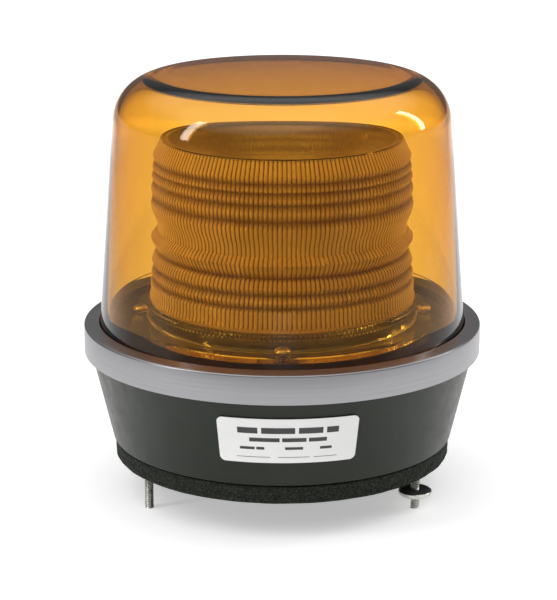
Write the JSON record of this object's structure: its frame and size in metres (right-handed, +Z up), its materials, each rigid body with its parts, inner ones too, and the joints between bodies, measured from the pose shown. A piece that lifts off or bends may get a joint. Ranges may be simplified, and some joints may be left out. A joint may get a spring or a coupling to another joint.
{
  "type": "strobe warning beacon",
  "caption": "Round amber strobe beacon: domed outer lens over a clear fluted inner lens, metal clamp ring, tapered black base with foam pad, threaded studs and blank data label.",
  "frame": {"origin": "centre of the mounting pad's underside, the face that meets the mounting surface", "axes": "+Z up through the dome, -Y to the front where the label is, +X to the right seen from the front"},
  "size_m": [0.21, 0.2216, 0.2244],
  "materials": {
    "amber_lens": "clear amber moulded plastic, polished",
    "clear_lens": "clear fluted moulded plastic",
    "ring_metal": "spun, satin",
    "steel": "zinc plated",
    "black_base": "satin black",
    "black_gloss": "gloss black",
    "black_plastic": "moulded black",
    "foam": "closed-cell foam",
    "rubber": "matt rubber",
    "label": "printed white film",
    "board": "glass-epoxy board",
    "ferrite": "dark ferrite",
    "winding": "enamelled copper winding",
    "ceramic": "unglazed ceramic",
    "brass": "bright",
    "glass": "clear",
    "blue_sleeve": "heat-shrunk sleeve",
    "heat_sink_metal": "extruded",
    "red_lead": "wire insulation",
    "black_lead": "wire insulation",
    "white_lead": "wire insulation"
  },
  "bodies": {
    "base": {"base_housing": "black_base", "board_screw_1": "steel", "board_screw_2": "steel", "board_screw_3": "steel", "board_screw_4": "steel", "board_standoff_1": "brass", "board_standoff_2": "brass", "board_standoff_3": "brass", "board_standoff_4": "brass", "cable_grommet": "rubber", "circuit_board": "board", "dome_gasket": "rubber", "flash_tube_base": "black_plastic", "flash_tube_envelope": "glass", "flash_tube_pin_1": "brass", "flash_tube_pin_2": "brass", "flash_tube_pin_3": "brass", "flash_tube_pin_4": "brass", "heat_sink": "heat_sink_metal", "inner_lens": "clear_lens", "lens_screw_1": "steel", "lens_screw_2": "steel", "lens_screw_3": "steel", "lens_screw_4": "steel", "mounting_pad": "foam", "mounting_plate": "black_gloss", "mounting_stud_left": "steel", "mounting_stud_rear": "steel", "mounting_stud_right": "steel", "name_label": "label", "plate_screw_1": "black_plastic", "plate_screw_2": "black_plastic", "plate_screw_3": "black_plastic", "plate_screw_4": "black_plastic", "power_resistor": "ceramic", "power_transistor": "black_gloss", "socket_lead_1": "red_lead", "socket_lead_2": "black_lead", "socket_lead_3": "white_lead", "socket_screw_1": "steel", "socket_screw_2": "steel", "storage_capacitor_1": "blue_sleeve", "storage_capacitor_2": "blue_sleeve", "terminal_block": "black_plastic", "transformer_core": "ferrite", "transformer_winding": "winding", "trigger_coil": "red_lead", "tube_socket": "ceramic", "xenon_coil": "glass"},
    "dome": {"outer_dome": "amber_lens"},
    "ring": {"clamp_ring": "ring_metal", "clamp_nut": "steel"},
    "clamp_washer": {"clamp_screw_washer": "steel"},
    "clamp_screw": {"clamp_screw": "steel"},
    "seal_washer": {"seal_washer_cup": "steel", "seal_washer_rubber": "rubber"}
  },
  "joints": [
    {"name": "dome_lift", "type": "slide", "parent": "base", "child": "dome", "axis": [0, 0, 1], "range_m": [0, 0.105]},
    {"name": "ring_lift", "type": "slide", "parent": "dome", "child": "ring", "axis": [0, 0, 1], "range_m": [0, 0.15]},
    {"name": "clamp_washer_back", "type": "slide", "parent": "ring", "child": "clamp_washer", "axis": [1, 0, 0], "range_m": [0, 0.00952]},
    {"name": "clamp_screw_turn", "type": "hinge", "parent": "clamp_washer", "child": "clamp_screw", "pos_m": [0, 0.1105, 0.0645], "axis": [1, 0, 0], "range_deg": [0, 3240]},
    {"name": "seal_washer_slide", "type": "slide", "parent": "base", "child": "seal_washer", "axis": [0, 0, 1], "range_m": [-0.0057, 0.0091]}
  ],
  "couplings": [
    {"joint": "clamp_screw_turn", "follows": "clamp_washer_back", "rad_per_m": 5936.9}
  ]
}
